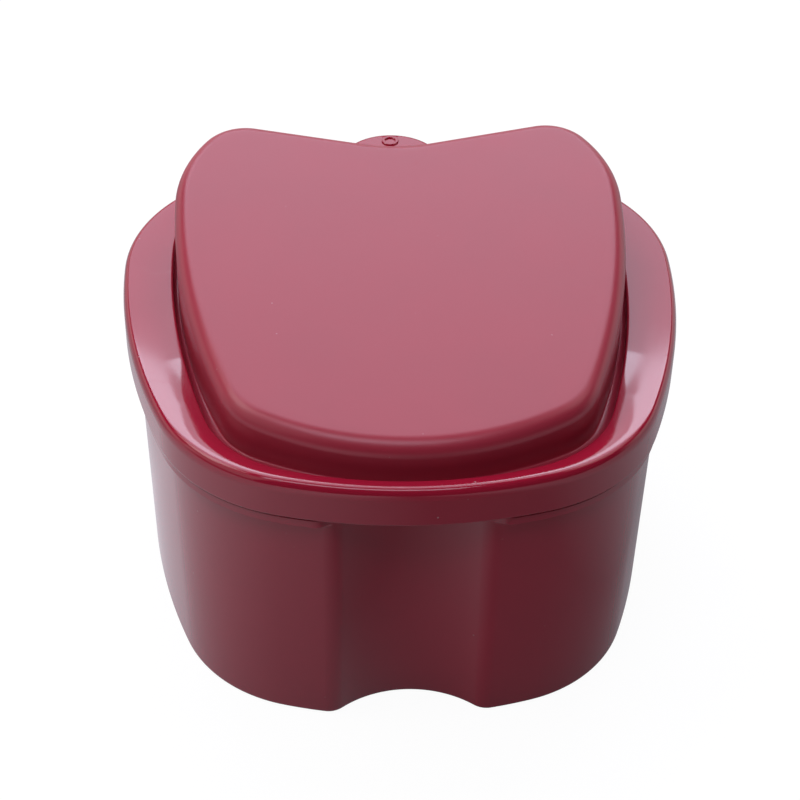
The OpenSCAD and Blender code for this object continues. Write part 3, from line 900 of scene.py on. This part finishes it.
# ------------------------------------------------------------------ lid
class LidShape:
    """The lid's heights and outlines, and the rings of its upper skin from the middle outwards."""

    def __init__(self, case, lid):
        self.case, self.lid = case, lid
        self.top, self.skirt_z = lid.flange_height, skirt_height(lid)
        self.channel_z = self.top - lid.channel_depth
        self.under_z = self.channel_z - lid.channel_floor
        self.flange, self.lip = flange_outline(case), lip_outline(case, lid)
        self.cap = cap_outline(case, lid)
        self.middle = np.array([0.0, CAP_MIDDLE, self.plane(CAP_MIDDLE)])
        # The flange's top lies between its inner and its outer line. Its slope into the channel
        # is the crown's at the sides and grows to the lean from 28 to 38 mm in front.
        self.inner, self.outer = self.lip.inset(-lid.lip_edge), self.flange.inset(lid.edge_reach)
        self.width = np.hypot(*(self.outer - self.inner).T)
        y = self.flange.points[:, 1]
        lean = np.clip((-28 - y) / 10, 0, 1) * (lid.lean - lid.crown) + lid.crown
        self.steep = np.tan(np.radians(lean))
        # The share of the width at which the flange is level, further out at the front.
        self.level = 0.6 + 0.25 * np.clip((-38 - y) / 8, 0, 1)

    def plane(self, y):
        """Height of the cap's sloped top."""
        front_z = self.top + self.lid.cap_front - CAP_SINK
        return front_z + (y - cap_front_y(self.case)) * tan(self.lid.cap_slope)

    def cap_ring(self, inset, drop):
        """The cap's outline drawn in, at a drop below its sloped top."""
        xy = self.cap.inset(inset)
        return np.column_stack([xy, self.plane(xy[:, 1]) - drop])

    def cap_rings(self):
        """The cap's top and its rounded edge."""
        radius = self.lid.cap_edge
        edge = self.cap_ring(radius, 0)
        rings = [self.middle + (edge - self.middle) * share
                 for share in (0.08, 0.25, 0.45, 0.65, 0.82, 0.93, 0.985)]
        rings += [self.cap_ring(radius * (1 - cos(a)), radius * (1 - sin(a)))
                  for a in reversed(quarter_turn(14))]
        return rings

    def channel_rings(self):
        """The cap's wall and foot, the channel's floor and its bend up to the lip."""
        floor, cap, lip = self.channel_z, self.cap, self.lip
        # The foot's and the bend's radii keep to their shares of the gap between cap and lip.
        gap = np.hypot(*(lip.inset(0) - cap.inset(0)).T)
        foot, bend = np.minimum(0.12 * gap, 0.3), np.minimum(0.8 * gap, 1.2)
        rings = [cap.ring(0, floor + foot + 0.1)]
        rings += [cap.ring(-foot * (1 - cos(a)), floor + foot * (1 - sin(a))) for a in quarter_turn(4)]
        rings += [lip.ring(bend * (1 - sin(a)), floor + bend * (1 - cos(a))) for a in quarter_turn(8)]
        # The lip's edge is lower than the flange's level line by the fall between them.
        edge, radius = self.top - (self.level - 0.15) * self.width * self.steep, self.lid.lip_edge
        rings += [lip.ring(-radius * (1 - cos(a)), edge - radius * (1 - sin(a))) for a in quarter_turn(6)]
        return rings

    def flange_rings(self):
        """The flange's top: straight by the channel, level near its middle, then falling outwards."""
        level, crown = self.level, tan(self.lid.crown)
        rings = []
        for share in np.linspace(0.08, 0.94, 13):
            # The slope eases off over the last 0.3 of the width before the level line.
            near, rest = np.maximum(level - 0.3 - share, 0), np.clip(level - share, 0, 0.3)
            beyond = np.maximum(share - level, 0) ** 2 / (2 * (1 - level))
            down = self.width * (self.steep * (near + rest ** 2 / 0.6) + crown * beyond)
            rings.append(np.column_stack([self.inner + (self.outer - self.inner) * share, self.top - down]))
        return rings

    def edge_rings(self):
        """The flange's edge rounding, taller than it is wide, and the skirt down to its lower edge."""
        lid, flange, crown = self.lid, self.flange, tan(self.lid.crown)
        rings = []
        start = math.degrees(math.atan(crown * lid.edge_reach / lid.edge))
        last = (1 - self.level) / 2 * self.width * crown
        for a in np.linspace(start, 90, 18):
            down = lid.edge * (1 - cos(a)) + last * cos(a)
            rings.append(flange.ring(lid.edge_reach * (1 - sin(a)), self.top - down))
        rings.append(flange.ring(0, self.skirt_z + 0.35))
        radius = SKIRT_ROUNDING
        rings += [flange.ring(radius * (1 - cos(a)), self.skirt_z + radius * (1 - sin(a)))
                  for a in quarter_turn(4)]
        return rings

    def solid(self):
        """The lid as one solid, before the room under it is cut."""
        rings = self.cap_rings() + self.channel_rings() + self.flange_rings() + self.edge_rings()
        return skin("lid_shell", rings, self.case, first=self.middle)


def add_ear(body, shape):
    """Adds the ear over the hinge, with the plain ring that a moulding gate leaves."""
    case, lid = shape.case, shape.lid
    ear_y, low_z = case.back_reach - EAR_IN, shape.top - EAR_DROP - lid.ear_thickness
    profile = [(lid.ear - 0.3, low_z), (lid.ear, low_z + 0.3)]
    for a in quarter_turn(8):
        profile.append((lid.ear - EAR_ROUNDING * (1 - cos(a)),
                        low_z + lid.ear_thickness - EAR_ROUNDING * (1 - sin(a))))
    add(body, lathe("ear", profile, (0, ear_y - EAR_SHIFT, 0), "Z", case, 160))
    foot_z = shape.top - 0.2
    ring = [(1.55, foot_z), (1.5, foot_z + 0.36), (1.38, foot_z + 0.45),
            (1.02, foot_z + 0.45), (0.9, foot_z + 0.36), (0.86, foot_z + 0.1)]
    add(body, lathe("gate_ring", ring, (0, ear_y + lid.ear - GATE_IN, 0), "Z", case, 64))


def add_lid_knuckle(body, shape, hinge):
    """Adds the knuckle that hangs under the ear on its web."""
    half = hinge.lid_knuckle / 2
    hinge_y, hinge_z = hinge_line(shape.case, shape.lid, hinge)
    add(body, block("web", -half, half, hinge_y - 2, hinge_y + 2, hinge_z, shape.top - 1, shape.case))
    add(body, rod("knuckle", hinge.knuckle, -half, half, hinge_y, hinge_z, shape.case))


def hollow_lid(body, shape, cup):
    """Cuts the room for the cup's mouth round the rib that holds the seal, and the cap's hollow."""
    case, lid, flange, cap, under_z = shape.case, shape.lid, shape.flange, shape.cap, shape.under_z
    rib_inset = cup.mouth_inset + cup.mouth
    room = prism("room", flange, lid.skirt, shape.skirt_z - 1, under_z, case)
    rib = prism("rib", flange, rib_inset + 0.2, under_z - 0.7, under_z + 1, case)
    cut(rib, prism("rib_core", flange, rib_inset + RIB, under_z - 2, under_z + 2, case))
    cut(body, cut(room, rib))
    # Between the rib and the channel the flange is hollowed up to the lid's wall.
    relief = prism("relief", flange, rib_inset + RIB, shape.skirt_z, shape.top - lid.wall, case)
    cut(relief, prism("relief_core", shape.lip, -1.4, shape.skirt_z - 1, shape.top, case))
    cut(body, relief)
    wall, edge = lid.wall, HOLLOW_ROUNDING
    hollow = [cap.ring(wall, under_z - 4), shape.cap_ring(wall, wall + edge)]
    hollow += [shape.cap_ring(wall + edge * (1 - cos(a)), wall + edge * (1 - sin(a)))
               for a in quarter_turn(4)[1:]]
    cut(body, skin("hollow", hollow, case, first=(0, CAP_MIDDLE, under_z - 4),
                   last=(0, CAP_MIDDLE, shape.plane(CAP_MIDDLE) - wall)))


class CASE_OT_lid(bpy.types.Operator):
    """Builds the lid: skirt, flange, sunk channel, cap, ear and knuckle"""
    bl_idname = "case.lid"
    bl_label = "Lid"

    def execute(self, context):
        case, cup, lid, hinge, _ = sizes()
        shape = LidShape(case, lid)
        body = shape.solid()
        add_ear(body, shape)
        add_lid_knuckle(body, shape, hinge)
        hollow_lid(body, shape, cup)
        hinge_y, hinge_z = hinge_line(case, lid, hinge)
        cut(body, rod("bore", hinge.pin + hinge.gap, -BORE_HALF, BORE_HALF, hinge_y, hinge_z, case))
        mark_satin(body, shape.lip.inset(0.05), case)
        finish_mesh(body, finish_of("lid_plastic"), "lid", ["lid"])
        return {"FINISHED"}


class CASE_OT_hinge_pin(bpy.types.Operator):
    """Builds the steel pin with its chamfered ends"""
    bl_idname = "case.hinge_pin"
    bl_label = "Hinge pin"

    def execute(self, context):
        case, _, lid, hinge, _ = sizes()
        half = hinge.lid_knuckle / 2 + hinge.end_gap + hinge.cup_knuckle
        hinge_y, hinge_z = hinge_line(case, lid, hinge)
        pin = rod("pin_rod", hinge.pin, -half, half, hinge_y, hinge_z, case, chamfer=0.2)
        finish_mesh(pin, finish_of("pin_steel"), "cup", ["hinge_pin"], 25)
        return {"FINISHED"}


# ------------------------------------------------------------------ geometry nodes
class Grower:
    """Builds one geometry tree with named inputs and gives its sockets."""

    def __init__(self, name, inputs):
        self.tree = bpy.data.node_groups.new(name, "GeometryNodeTree")
        self.tree.interface.new_socket("Geometry", in_out="INPUT", socket_type="NodeSocketGeometry")
        self.ids = {}
        for label, kind, default in inputs:
            socket = self.tree.interface.new_socket(label, in_out="INPUT", socket_type=kind)
            if default is not None:
                socket.default_value = default
            self.ids[label] = socket.identifier
        self.tree.interface.new_socket("Geometry", in_out="OUTPUT", socket_type="NodeSocketGeometry")
        self.entry = self.tree.nodes.new("NodeGroupInput")

    def given(self, label):
        return self.entry.outputs[label]

    def node(self, kind, settings=None, inputs=None, output=0):
        made = self.tree.nodes.new(kind)
        for key, value in (settings or {}).items():
            setattr(made, key, value)
        for key, value in (inputs or {}).items():
            if isinstance(value, bpy.types.NodeSocket):
                self.tree.links.new(value, made.inputs[key])
            else:
                made.inputs[key].default_value = value
        return made.outputs[output]

    def maths(self, operation, *values):
        return self.node("ShaderNodeMath", {"operation": operation}, dict(enumerate(values)))

    def compared(self, operation, first, second):
        return self.node("FunctionNodeCompare", {"data_type": "FLOAT", "operation": operation},
                         {0: first, 1: second})

    def close(self, geometry, material):
        real = self.node("GeometryNodeRealizeInstances", {}, {"Geometry": geometry})
        dressed = self.node("GeometryNodeSetMaterial", {}, {"Geometry": real, "Material": material})
        self.tree.links.new(dressed, self.tree.nodes.new("NodeGroupOutput").inputs[0])

    def run(self, obj, values):
        """Runs the tree on an object with these inputs and bakes the result."""
        mod = obj.modifiers.new(self.tree.name, "NODES")
        mod.node_group = self.tree
        for label, value in values.items():
            mod[self.ids[label]] = value
        settle(obj)


def sweep_tree(material):
    """A band of even section that follows a closed line."""
    grower = Grower("Follow the line", [
        ("Width", "NodeSocketFloat", 0.001), ("Height", "NodeSocketFloat", 0.001),
        ("Rounding", "NodeSocketFloat", 0.0002)])
    line = grower.node("GeometryNodeMeshToCurve", {}, {"Mesh": grower.given("Geometry")})
    upright = grower.node("GeometryNodeSetCurveNormal", {"mode": "Z_UP"}, {"Curve": line})
    section = grower.node("GeometryNodeCurvePrimitiveQuadrilateral", {"mode": "RECTANGLE"},
                          {"Width": grower.given("Width"), "Height": grower.given("Height")})
    soft = grower.node("GeometryNodeFilletCurve", {"mode": "POLY"},
                       {"Curve": section, "Count": 3, "Radius": grower.given("Rounding")})
    band = grower.node("GeometryNodeCurveToMesh", {}, {"Curve": upright, "Profile Curve": soft})
    grower.close(band, material)
    return grower


def grid_cut_tree(material):
    """Cuts rows of copies of a tool out of a solid, Count X by Count Y of them round a middle.

    Copies further than Reach from the middle, or nearer than Clear to its Y axis, are left out."""
    grower = Grower("Rows of openings", [
        ("Tool", "NodeSocketObject", None), ("Count X", "NodeSocketInt", 1), ("Count Y", "NodeSocketInt", 1),
        ("Pitch", "NodeSocketFloat", 0.0075), ("Middle", "NodeSocketVector", (0.0, 0.0, 0.0)),
        ("Reach", "NodeSocketFloat", 1.0), ("Clear", "NodeSocketFloat", 0.0)])
    count_x, count_y, pitch = (grower.given(label) for label in ("Count X", "Count Y", "Pitch"))
    rows = grower.node("GeometryNodeMeshGrid", {}, {
        "Size X": grower.maths("MULTIPLY", grower.maths("SUBTRACT", count_x, 1.0), pitch),
        "Size Y": grower.maths("MULTIPLY", grower.maths("SUBTRACT", count_y, 1.0), pitch),
        "Vertices X": count_x, "Vertices Y": count_y})
    points = grower.node("GeometryNodeMeshToPoints", {}, {"Mesh": rows})
    place = grower.node("GeometryNodeInputPosition")
    far = grower.node("ShaderNodeVectorMath", {"operation": "LENGTH"}, {0: place}, output=1)
    across = grower.node("ShaderNodeSeparateXYZ", {}, {0: place})
    too_far = grower.compared("GREATER_THAN", far, grower.given("Reach"))
    too_near = grower.compared("LESS_THAN", grower.maths("ABSOLUTE", across), grower.given("Clear"))
    unwanted = grower.node("FunctionNodeBooleanMath", {"operation": "OR"}, {0: too_far, 1: too_near})
    kept = grower.node("GeometryNodeDeleteGeometry", {"domain": "POINT"},
                       {"Geometry": points, "Selection": unwanted})
    moved = grower.node("GeometryNodeSetPosition", {}, {"Geometry": kept, "Offset": grower.given("Middle")})
    tool = grower.node("GeometryNodeObjectInfo", {"transform_space": "ORIGINAL"},
                       {"Object": grower.given("Tool")}, output=4)
    tools = grower.node("GeometryNodeInstanceOnPoints", {}, {"Points": moved, "Instance": tool})
    real = grower.node("GeometryNodeRealizeInstances", {}, {"Geometry": tools})
    holed = grower.node("GeometryNodeMeshBoolean", {"operation": "DIFFERENCE", "solver": "MANIFOLD"},
                        {"Mesh 1": grower.given("Geometry"), "Mesh 2": real})
    grower.close(holed, material)
    return grower


class CASE_OT_seal(bpy.types.Operator):
    """Sweeps the silicone seal round the underside of the lid"""
    bl_idname = "case.seal"
    bl_label = "Seal ring"

    def execute(self, context):
        case, cup, lid, hinge, _ = sizes()
        under_z = lid.flange_height - lid.channel_depth - lid.channel_floor
        outer, inner = lid.skirt + 0.1, cup.mouth_inset + cup.mouth + 0.15
        middle = flange_outline(case).ring((outer + inner) / 2, under_z - hinge.seal / 2)
        count = len(middle)
        mesh = bpy.data.meshes.new("seal_band")
        mesh.from_pydata(placed(middle, case).tolist(), [(i, (i + 1) % count) for i in range(count)], [])
        seal = new_object("seal_band", mesh)
        material = finish_of("seal_silicone")
        sweep_tree(material).run(seal, {
            "Width": (inner - outer) * MM, "Height": hinge.seal * MM, "Rounding": 0.25 * MM})
        finish_mesh(seal, material, "lid", ["seal_ring"], 40)
        return {"FINISHED"}


# ------------------------------------------------------------------ strainer basket
class BasketShape:
    """The basket's heights, and its insets from the flange's edge."""

    def __init__(self, case, cup, lid, basket):
        self.case, self.cup, self.basket = case, cup, basket
        self.seat_z = skirt_height(lid) + cup.mouth_height - cup.seat_depth
        self.top = self.seat_z + basket.rim
        self.base = cup.floor + basket.foot
        self.wall_inset = cup.wall_inset + cup.wall + basket.gap
        self.rim_inset = cup.mouth_inset + cup.mouth + 0.3
        self.outline, self.flange = cup_outline(case, cup), flange_outline(case)
        self.middle = self.outline.inset(self.wall_inset).mean(0)

    def tub(self):
        """The outside of the basket below its rim, solid."""
        rings = rounded_foot(self.outline, self.wall_inset, self.base, WELL_ROUNDING, 6)
        rings.append(self.outline.ring(self.wall_inset, self.top - 0.3))
        return skin("strainer", rings, self.case, first=(*self.middle, self.base),
                    last=(*self.middle, self.top - 0.3))

    def rim(self):
        """The rim, which lies on the cup's seat."""
        rings = [self.outline.ring(self.rim_inset + 0.2, self.seat_z),
                 self.outline.ring(self.rim_inset, self.seat_z + 0.2),
                 self.outline.ring(self.rim_inset, self.top - RIM_ROUNDING)]
        rings += rounded_top(self.outline, self.rim_inset, self.top, RIM_ROUNDING, 5)
        return skin("rim", rings, self.case, first=(*self.middle, self.seat_z),
                    last=(*self.middle, self.top))

    def well(self):
        """The room inside the basket, with a round bay kept round the thumb scoop."""
        inset, low_z = self.wall_inset + self.basket.wall, self.base + self.basket.wall
        rings = rounded_foot(self.flange, inset, low_z, WELL_ROUNDING, 5)
        well = skin("well", rings + [self.flange.ring(inset, self.top + 1)], self.case)
        scoop = Scoop(self.case, self.cup)
        bay = [(scoop.radius + inset, self.base - 3), (scoop.radius + inset, self.top + 3)]
        return cut(well, lathe("bay", bay, (0, scoop.y, 0), "Z", self.case, 200))

    def slot_tool(self, axis):
        """A long round-ended bar that cuts one slot through both opposite walls."""
        radius = self.basket.slot / 2
        low, high = self.base + SLOT_ROOM + radius, self.seat_z - SLOT_ROOM - radius
        turn = [(radius * cos(a), high + radius * sin(a)) for a in range(0, 181, 15)]
        turn += [(radius * cos(a), low + radius * sin(a)) for a in range(180, 361, 15)]
        rings = []
        for reach in (-80, 80):
            ring = [(reach, u, v) if axis == "X" else (u, reach, v) for u, v in turn]
            rings.append(np.array(ring) - (0, self.case.shift, 0))
        return skin("slot", rings, self.case)

    def drill(self):
        """A round bar that cuts one drain hole through the floor."""
        radius, low = self.basket.hole, self.base
        profile = [(radius, low - 1), (radius, low + self.basket.wall + 1)]
        return lathe("drill", profile, (0, -self.case.shift, 0), "Z", self.case, 32)

    def handle(self):
        """A flat band bent to an arc that springs from inside the side walls."""
        basket, edge = self.basket, 0.5
        half_span = self.case.width / 2 - self.wall_inset - basket.wall / 2
        # The arc starts this far below the rim, inside the walls.
        root = 4
        sag = basket.handle_height + root
        radius = (half_span * half_span + sag * sag) / (2 * sag)
        centre_z, half = self.top + basket.handle_height - radius, basket.handle_width / 2
        section = [(-half + edge, 0), (-half, edge), (-half, basket.handle - edge),
                   (-half + edge, basket.handle), (half - edge, basket.handle),
                   (half, basket.handle - edge), (half, edge), (half - edge, 0)]
        limit = math.degrees(math.asin(half_span / radius))
        rings = []
        for a in np.linspace(-limit, limit, 81):
            ring = []
            for along, out in section:
                reach = radius - basket.handle + out
                ring.append((reach * sin(a), HANDLE_Y + along, centre_z + reach * cos(a)))
            rings.append(np.array(ring))
        return skin("handle", rings, self.case)


class CASE_OT_strainer(bpy.types.Operator):
    """Builds the strainer basket with its slots, drain holes and handle"""
    bl_idname = "case.strainer"
    bl_label = "Strainer basket"

    def execute(self, context):
        case, cup, lid, _, basket = sizes()
        shape = BasketShape(case, cup, lid, basket)
        body = shape.tub()
        add(body, shape.rim())
        cut(body, shape.well())
        material = finish_of("basket_plastic")
        tree = grid_cut_tree(material)
        # Upright slots through the two side walls.
        self.cut_rows(tree, body, shape.slot_tool("X"), case, (1, 5), basket.slot_pitch, SIDE_SLOTS_Y)
        # Upright slots through the front and back walls, none near the middle.
        self.cut_rows(tree, body, shape.slot_tool("Y"), case, (7, 1), basket.slot_pitch, 0,
                      clear=1.5 * basket.slot_pitch)
        # Drain holes in a round patch of the floor.
        self.cut_rows(tree, body, shape.drill(), case, (7, 7), basket.hole_pitch,
                      -basket.hole_pitch - 4, reach=3.7 * basket.hole_pitch)
        add(body, shape.handle())
        finish_mesh(body, material, "basket", ["strainer_basket"], 35)
        return {"FINISHED"}

    @staticmethod
    def cut_rows(tree, body, tool, case, counts, pitch, y, reach=1000, clear=0):
        """Cuts a tool's openings in rows round a middle at y, and removes the tool."""
        tree.run(body, {"Tool": tool, "Count X": counts[0], "Count Y": counts[1], "Pitch": pitch * MM,
                        "Middle": tuple(placed([(0, y, 0)], case)[0]), "Reach": reach * MM,
                        "Clear": clear * MM})
        drop(tool)


# ------------------------------------------------------------------ stage
def add_camera(case):
    """The photograph's view point, from its distance, headings and small offsets."""
    back = Vector((sin(CAMERA_YAW) * cos(CAMERA_PITCH), -cos(CAMERA_YAW) * cos(CAMERA_PITCH),
                   sin(CAMERA_PITCH)))
    right = Vector((cos(CAMERA_YAW), sin(CAMERA_YAW), 0))
    up = back.cross(right)
    spot = Vector(CAMERA_TARGET) + Vector((0, case.shift, 0)) + back * CAMERA_AWAY
    spot += right * CAMERA_ACROSS + up * CAMERA_UP
    x_axis = right * cos(CAMERA_ROLL) - up * sin(CAMERA_ROLL)
    y_axis = right * sin(CAMERA_ROLL) + up * cos(CAMERA_ROLL)
    data = bpy.data.cameras.new("camera")
    data.lens, data.sensor_width, data.clip_start = CAMERA_LENS, CAMERA_SENSOR, 0.01
    camera = bpy.data.objects.new("camera", data)
    turn = Matrix((x_axis, y_axis, back)).transposed().to_4x4()
    camera.matrix_world = Matrix.Translation(spot * MM) @ turn
    bpy.context.scene.collection.objects.link(camera)
    bpy.context.scene.camera = camera


def add_panel(name, place, size, radiance, tint=(1, 1, 1)):
    """A softbox that faces the case.

    Its place is a heading, 0 straight behind and turning to the right, an elevation and a
    distance in metres. Its size is the width and height in degrees that the case sees."""
    heading, elevation, away = place
    width, height = (2 * away * tan(degrees / 2) for degrees in size)
    aim = Vector((0, 0, 0.05))
    way = Vector((sin(heading) * cos(elevation), cos(heading) * cos(elevation), sin(elevation)))
    level = Vector((cos(heading), -sin(heading), 0))
    lamp = bpy.data.lights.new(name, "AREA")
    lamp.shape, lamp.size, lamp.size_y = "RECTANGLE", width, height
    lamp.energy, lamp.color = radiance * math.pi * width * height, tint
    obj = bpy.data.objects.new(name, lamp)
    turn = Matrix((level, way.cross(level), way)).transposed().to_4x4()
    obj.matrix_world = Matrix.Translation(aim + way * away) @ turn
    obj.visible_camera = False
    bpy.context.scene.collection.objects.link(obj)


def ray_kinds(shader):
    """Camera, mirror and glass rays, each 1 or 0."""
    rays = shader.node("ShaderNodeLightPath")
    return rays.outputs("Is Camera Ray", "Is Glossy Ray", "Is Transmission Ray")


def floor_paper(look):
    """White paper to the eye, shaded by the case. Mirror rays see painted light on it instead: a glow laid
    out as the studio lights it.
    """
    material, shader = new_material("floor_paper", look.floor)
    camera, glossy, through = ray_kinds(shader)
    # The glow that mirror rays see is painted light and shade: bright on the left, where the fill is, dimmer
    # there to the back, paler far right, and a painted shade of 0.28 elsewhere.
    apart = shader.node("ShaderNodeSeparateXYZ", {}, {0: shader.coordinate("Object")})
    across, depth = apart.outputs(0, 1)
    left = ((0.01 - across) / 0.08).clamped() * (1 - 0.6 * ((depth - 0.01) / 0.04).clamped())
    right = ((across - 0.05) / 0.05).clamped()
    painted_floor_light = 0.28 + left * 0.72 + right * 0.4
    strength = glossy * painted_floor_light + (1 - glossy) * look.floor_level
    # Mirror rays see that painted floor light with a lilac tint.
    tone = shader.mixed(glossy, (1, 1, 1, 1), (0.96, 0.91, 1.0, 1))
    white = shader.node("ShaderNodeEmission", {}, {"Color": tone, "Strength": strength})
    paper = shader.node("ShaderNodeBsdfDiffuse", {}, {"Color": (*look.floor, 1)})
    share = ((camera + through) * look.floor_white + glossy).clamped()
    mix = shader.node("ShaderNodeMixShader", {}, {0: share, 1: paper, 2: white})
    shader.node("ShaderNodeOutputMaterial", {}, {"Surface": mix})
    return material


def add_floor(look):
    half = 3.0
    mesh = bpy.data.meshes.new("floor")
    mesh.from_pydata([(-half, -half, 0), (half, -half, 0), (half, half, 0), (-half, half, 0)], [],
                     [(0, 1, 2, 3)])
    mesh.materials.append(floor_paper(look))
    new_object("floor", mesh)


def add_surroundings(look):
    """A white backdrop behind the floor. Above it and behind the camera the studio is dim."""
    world = bpy.data.worlds.new("surroundings")
    world.use_nodes = True
    bpy.context.scene.world = world
    shader = Shader(world.node_tree)
    apart = shader.node("ShaderNodeSeparateXYZ", {}, {0: shader.coordinate("Generated")})
    depth, height = apart.outputs(1, 2)
    backdrop = ((0.42 - height) * 8).clamped() * ((depth + 0.2) * 3).clamped()
    camera, glossy, through = ray_kinds(shader)
    plain = (camera + glossy + through).clamped()
    seen = 1 - glossy * (1 - backdrop) * 0.96
    strength = plain * seen + (1 - plain) * look.ambient
    light = shader.node("ShaderNodeBackground", {}, {"Color": (1, 1, 1, 1), "Strength": strength})
    shader.node("ShaderNodeOutputWorld", {}, {"Surface": light})


class CASE_OT_stage(bpy.types.Operator):
    """Sets the camera, the softboxes, the pale floor and the surroundings"""
    bl_idname = "case.stage"
    bl_label = "Stage"

    def execute(self, context):
        look = context.scene.case_studio
        tint = look.softbox_tint
        add_camera(sizes()[0])
        add_panel("rear_softbox", (0, 51, 1.0), (56, 48), look.softbox, tint)
        add_panel("rear_strip", (0, 41.5, 0.98), (54, 6), look.strip, tint)
        add_panel("top_softbox", (195, 66, 0.9), (36, 20), look.top, tint)
        add_panel("left_fill", (-115, 28, 0.9), (50, 40), look.left)
        add_panel("left_softbox", (-82, 52, 0.9), (30, 26), look.sides)
        add_panel("right_softbox", (82, 52, 0.9), (30, 26), look.sides * RIGHT_SHARE)
        add_floor(look)
        add_surroundings(look)
        context.scene.view_settings.view_transform = "Standard"
        return {"FINISHED"}


class CASE_PT_panel(bpy.types.Panel):
    """Lists the builder's steps and sizes"""
    bl_label = "Denture Case"
    bl_idname = "CASE_PT_panel"
    bl_space_type = "VIEW_3D"
    bl_region_type = "UI"
    bl_category = "Denture Case"

    def draw(self, context):
        for operator in PIECES:
            self.layout.operator(operator.bl_idname)
        for name in GROUPS:
            group = getattr(context.scene, name)
            box = self.layout.box()
            for key in group.bl_rna.properties.keys():
                if key not in ("rna_type", "name"):
                    box.prop(group, key)


PIECES = (CASE_OT_cup, CASE_OT_lid, CASE_OT_hinge_pin, CASE_OT_seal, CASE_OT_strainer, CASE_OT_stage)
CLASSES = (*GROUPS.values(), *PIECES, CASE_PT_panel)


def register():
    for cls in CLASSES:
        bpy.utils.register_class(cls)
    for name, cls in GROUPS.items():
        setattr(bpy.types.Scene, name, bpy.props.PointerProperty(type=cls))


def unregister():
    for name in GROUPS:
        delattr(bpy.types.Scene, name)
    for cls in reversed(CLASSES):
        bpy.utils.unregister_class(cls)


def main():
    register()
    bpy.ops.case.cup()
    bpy.ops.case.lid()
    bpy.ops.case.hinge_pin()
    bpy.ops.case.seal()
    bpy.ops.case.strainer()
    bpy.ops.case.stage()


if __name__ == "__main__":
    main()
